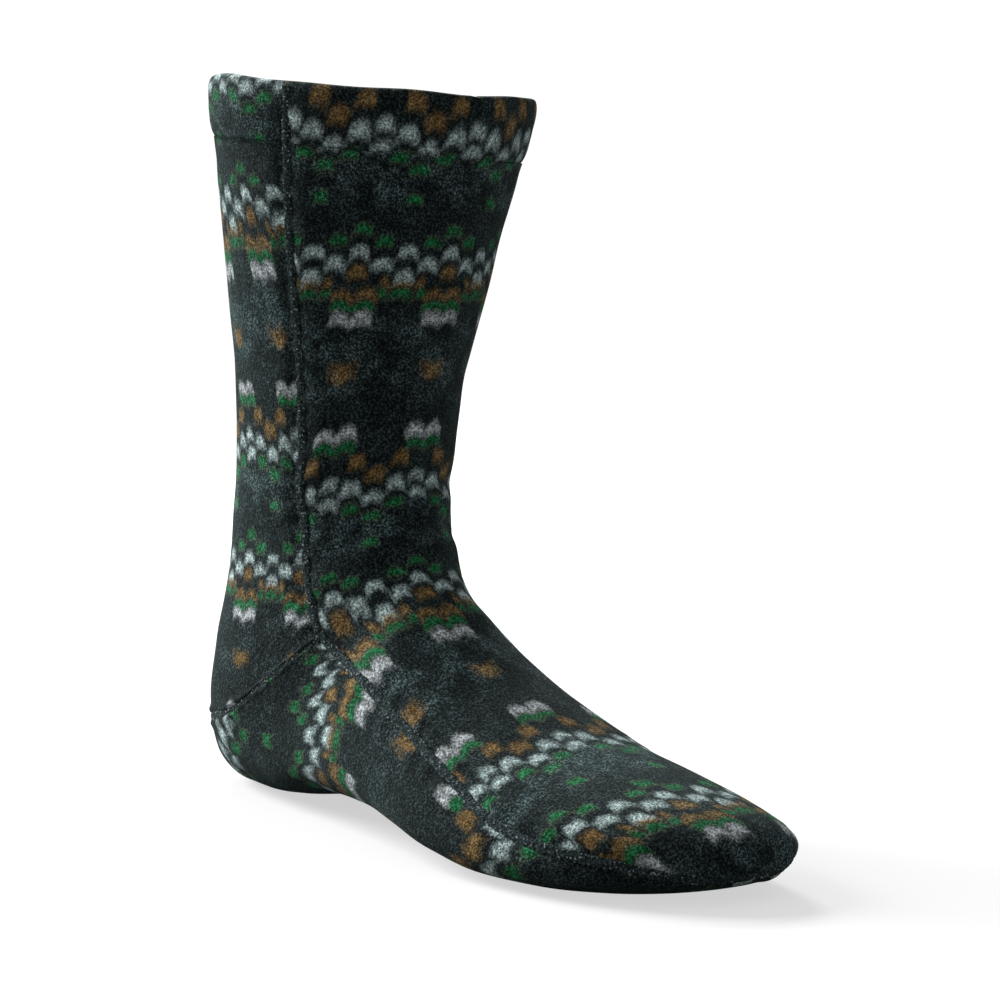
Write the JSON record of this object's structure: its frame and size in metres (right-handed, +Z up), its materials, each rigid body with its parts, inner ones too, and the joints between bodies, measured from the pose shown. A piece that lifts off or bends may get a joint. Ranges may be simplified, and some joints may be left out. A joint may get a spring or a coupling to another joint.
{
  "type": "cabin sock",
  "caption": "Crew-height house sock sewn from thick patterned fleece, with a doubled hem and a wrap-round sole panel.",
  "frame": {"origin": "middle of the sock's footprint on the floor, under its bounding box", "axes": "+X from heel to toe, +Y to the wearer's left, +Z up"},
  "size_m": [0.2494, 0.1106, 0.2493],
  "materials": {
    "printed_fleece": "matt napped fleece with a printed zigzag pattern",
    "sole_fleece": "matt napped fleece, the same print turned across the foot",
    "hem_fleece": "matt napped fleece, doubled and stitched down",
    "seam_thread": "overlocked seam, grey thread in fleece nap"
  },
  "bodies": {
    "root": {"upper": "printed_fleece", "sole_panel": "sole_fleece", "cuff_hem": "hem_fleece", "sole_seam": "seam_thread", "leg_seam_left": "seam_thread", "leg_seam_right": "seam_thread"}
  },
  "joints": []
}
